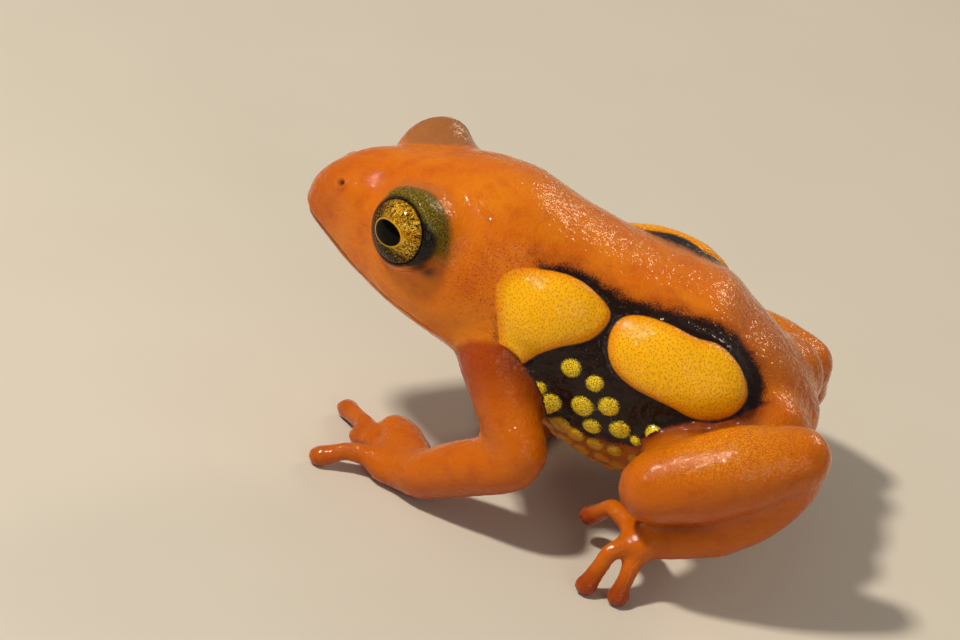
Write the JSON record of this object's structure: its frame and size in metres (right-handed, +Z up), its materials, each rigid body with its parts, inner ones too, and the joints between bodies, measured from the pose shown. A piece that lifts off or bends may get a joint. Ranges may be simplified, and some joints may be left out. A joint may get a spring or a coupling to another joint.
{
  "type": "resplendent shrub frog",
  "caption": "Small plump orange frog sitting alert on the floor, legs folded, with raised oval glands on its flanks and yellow warts below them.",
  "frame": {"origin": "on the floor, under the middle of the frog's box", "axes": "-X the way the frog faces, its left side towards -Y, +Z up from the floor"},
  "size_m": [0.0258, 0.02, 0.0151],
  "materials": {
    "skin": "moist, fine-grained, slightly see-through skin",
    "eye": "wet, clear over a gold iris"
  },
  "bodies": {
    "root": {"head": "skin", "torso": "skin", "upper_arm_left": "skin", "upper_arm_right": "skin", "forearm_left": "skin", "forearm_right": "skin", "hand_left": "skin", "hand_right": "skin", "thigh_left": "skin", "thigh_right": "skin", "shank_left": "skin", "shank_right": "skin", "foot_left": "skin", "foot_right": "skin", "eye_left": "eye", "eye_right": "eye"}
  },
  "joints": []
}
